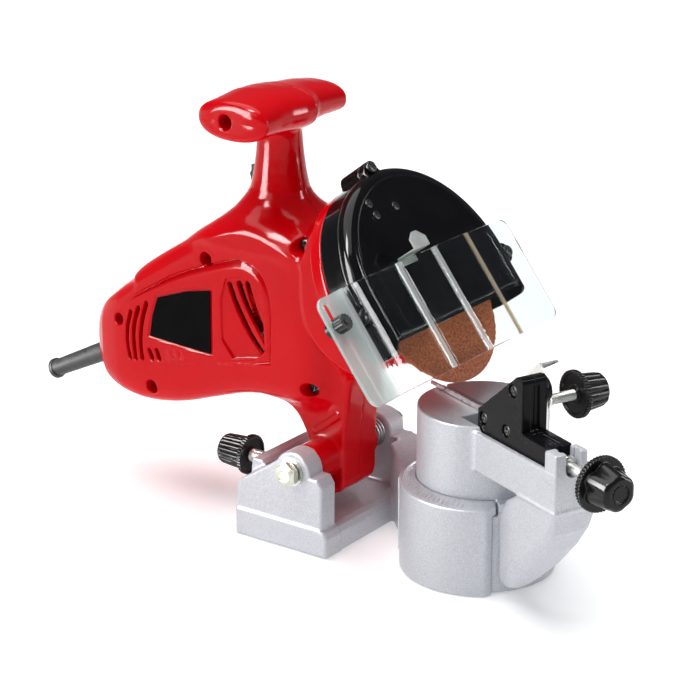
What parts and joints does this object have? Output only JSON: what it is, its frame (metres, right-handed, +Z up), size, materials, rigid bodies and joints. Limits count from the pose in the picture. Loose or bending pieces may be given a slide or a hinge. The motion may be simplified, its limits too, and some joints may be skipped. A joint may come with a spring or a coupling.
{
  "type": "electric chainsaw sharpener",
  "caption": "Bench sharpener for saw chain: tilting motor head with a guarded grinding wheel, clear front shield, swivelling chain vise and screw-fed carriage on a cast base.",
  "frame": {"origin": "midway between the two bench bolt holes, on the underside of the base", "axes": "+Z up, -Y towards the vise and the operator, +X to the right seen from the front, along the hinge bolt"},
  "size_m": [0.1766, 0.4553, 0.2597],
  "materials": {
    "red_housing": "glossy red moulded plastic",
    "black_gloss": "gloss black moulded plastic",
    "black_satin": "satin black plastic",
    "cast_aluminium": "painted and tumbled die casting",
    "zinc_steel": "bright zinc plate",
    "steel": "machined steel",
    "spring_steel": "oiled spring wire",
    "lamination_steel": "stacked electrical steel",
    "clear_sheet": "clear moulded sheet",
    "abrasive": "gritty bonded abrasive",
    "copper": "enamelled copper",
    "carbon": "pressed carbon",
    "sleeve_rubber": "moulded rubber",
    "fan_plastic": "moulded nylon"
  },
  "bodies": {
    "base": {"base_casting": "cast_aluminium", "hinge_bolt": "zinc_steel", "hinge_nut": "zinc_steel", "hinge_washers": "zinc_steel", "return_spring": "spring_steel", "pivot_plate": "zinc_steel", "pivot_plate_screws": "zinc_steel", "thrust_washer": "steel"},
    "depth_stop_tip": {"depth_stop_pad": "black_satin"},
    "depth_stop": {"depth_stop_screw": "zinc_steel", "depth_stop_knob": "black_gloss"},
    "vise": {"vise_body": "cast_aluminium", "vise_stud": "zinc_steel"},
    "vise_lock": {"vise_lock_knob": "black_gloss"},
    "carriage": {"carriage_left": "black_satin", "carriage_right": "black_satin", "carriage_screws": "zinc_steel", "finger_pin": "steel"},
    "finger": {"stop_finger": "zinc_steel"},
    "clamp_jaw": {"clamp_plate": "zinc_steel"},
    "clamp_drive": {"clamp_screw": "zinc_steel", "clamp_knob": "black_gloss"},
    "feed_drive": {"feed_screw": "zinc_steel", "feed_knob": "black_gloss"},
    "head": {"housing_left": "red_housing", "housing_right": "red_housing", "housing_screws": "zinc_steel", "label_panel": "black_satin", "strain_relief": "sleeve_rubber", "cord_clamp": "black_satin", "cord_clamp_screws": "zinc_steel", "switch_body": "black_satin", "bearing_carrier": "cast_aluminium", "gear_case_plate": "cast_aluminium", "spindle_bearings": "steel", "armature_bearings": "steel", "stator": "lamination_steel", "field_coils": "copper", "brush_holders": "copper", "carbon_brushes": "carbon", "guard_body": "black_gloss", "guard_cover": "black_gloss", "guard_screws": "zinc_steel", "shield_bracket": "zinc_steel", "shield_bolt": "zinc_steel", "shield_clip": "black_satin"},
    "armature": {"armature_shaft": "steel", "armature_core": "lamination_steel", "commutator": "copper", "fan": "fan_plastic", "pinion": "steel"},
    "wheel_spindle": {"spindle": "steel", "drive_gear": "steel", "inner_flange": "steel", "outer_flange": "zinc_steel", "wheel_nut": "zinc_steel", "grinding_wheel": "abrasive"},
    "rocker": {"switch_rocker": "black_gloss"},
    "front_shield": {"shield": "clear_sheet"},
    "shield_nut": {"thumb_nut": "zinc_steel"}
  },
  "joints": [
    {"name": "head_tilt", "type": "hinge", "parent": "base", "child": "head", "pos_m": [0, -0.0207, 0.048], "axis": [1, 0, 0], "range_deg": [0, 4], "stiffness_Nm_per_rad": 1.2, "springref_deg": -17.19},
    {"name": "depth_stop_travel", "type": "slide", "parent": "base", "child": "depth_stop_tip", "axis": [0, 1, 0], "range_m": [-0.001, 0.01]},
    {"name": "depth_stop_turn", "type": "hinge", "parent": "depth_stop_tip", "child": "depth_stop", "pos_m": [-0.0055, 0, 0.03], "axis": [0, 1, 0], "range_deg": [-293, 2885]},
    {"name": "vise_turn", "type": "hinge", "parent": "base", "child": "vise", "pos_m": [0, -0.1185, 0], "axis": [0, 0, 1], "range_deg": [-1.5, 48]},
    {"name": "vise_lock_turn", "type": "hinge", "parent": "vise", "child": "vise_lock", "pos_m": [0, -0.1185, 0.009], "axis": [0, 0, 1], "range_deg": [0, 360]},
    {"name": "carriage_feed", "type": "slide", "parent": "vise", "child": "carriage", "axis": [-0.3907, -0.9205, 0], "range_m": [-0.006, 0.002]},
    {"name": "feed_screw_turn", "type": "hinge", "parent": "vise", "child": "feed_drive", "pos_m": [-0.05541, -0.21448, 0.096], "axis": [-0.3907, -0.9205, 0], "range_deg": [-2165, 725]},
    {"name": "finger_flip", "type": "hinge", "parent": "carriage", "child": "finger", "pos_m": [-0.02151, -0.14794, 0.1004], "axis": [0.9205, -0.3907, 0], "range_deg": [0, 3]},
    {"name": "clamp_travel", "type": "slide", "parent": "carriage", "child": "clamp_jaw", "axis": [0.9205, -0.3907, 0], "range_m": [-0.0025, 0.003]},
    {"name": "clamp_turn", "type": "hinge", "parent": "clamp_jaw", "child": "clamp_drive", "pos_m": [-0.01143, -0.17101, 0.1148], "axis": [0.9205, -0.3907, 0], "range_deg": [-905, 1085]},
    {"name": "spindle_spin", "type": "hinge", "parent": "head", "child": "wheel_spindle", "pos_m": [0, -0.0812, 0.1503], "axis": [0, -0.8, 0.6], "continuous": true},
    {"name": "armature_spin", "type": "hinge", "parent": "head", "child": "armature", "pos_m": [0, -0.0016, 0.1231], "axis": [0, -0.8, 0.6], "continuous": true},
    {"name": "switch_rock", "type": "hinge", "parent": "head", "child": "rocker", "pos_m": [0, 0.033, 0.202], "axis": [1, 0, 0], "range_deg": [0, 14]},
    {"name": "shield_slide", "type": "slide", "parent": "head", "child": "front_shield", "axis": [0, -0.6, -0.8], "range_m": [0, 0.003]},
    {"name": "thumb_nut_turn", "type": "hinge", "parent": "head", "child": "shield_nut", "pos_m": [-0.0976, -0.0915, 0.1649], "axis": [0, -0.8, 0.6], "range_deg": [0, 180]}
  ],
  "couplings": [
    {"joint": "depth_stop_turn", "follows": "depth_stop_travel", "rad_per_m": 5026.5},
    {"joint": "feed_screw_turn", "follows": "carriage_feed", "rad_per_m": 6283.2},
    {"joint": "clamp_turn", "follows": "clamp_travel", "rad_per_m": 6283.2},
    {"joint": "armature_spin", "follows": "spindle_spin", "ratio": -3}
  ]
}
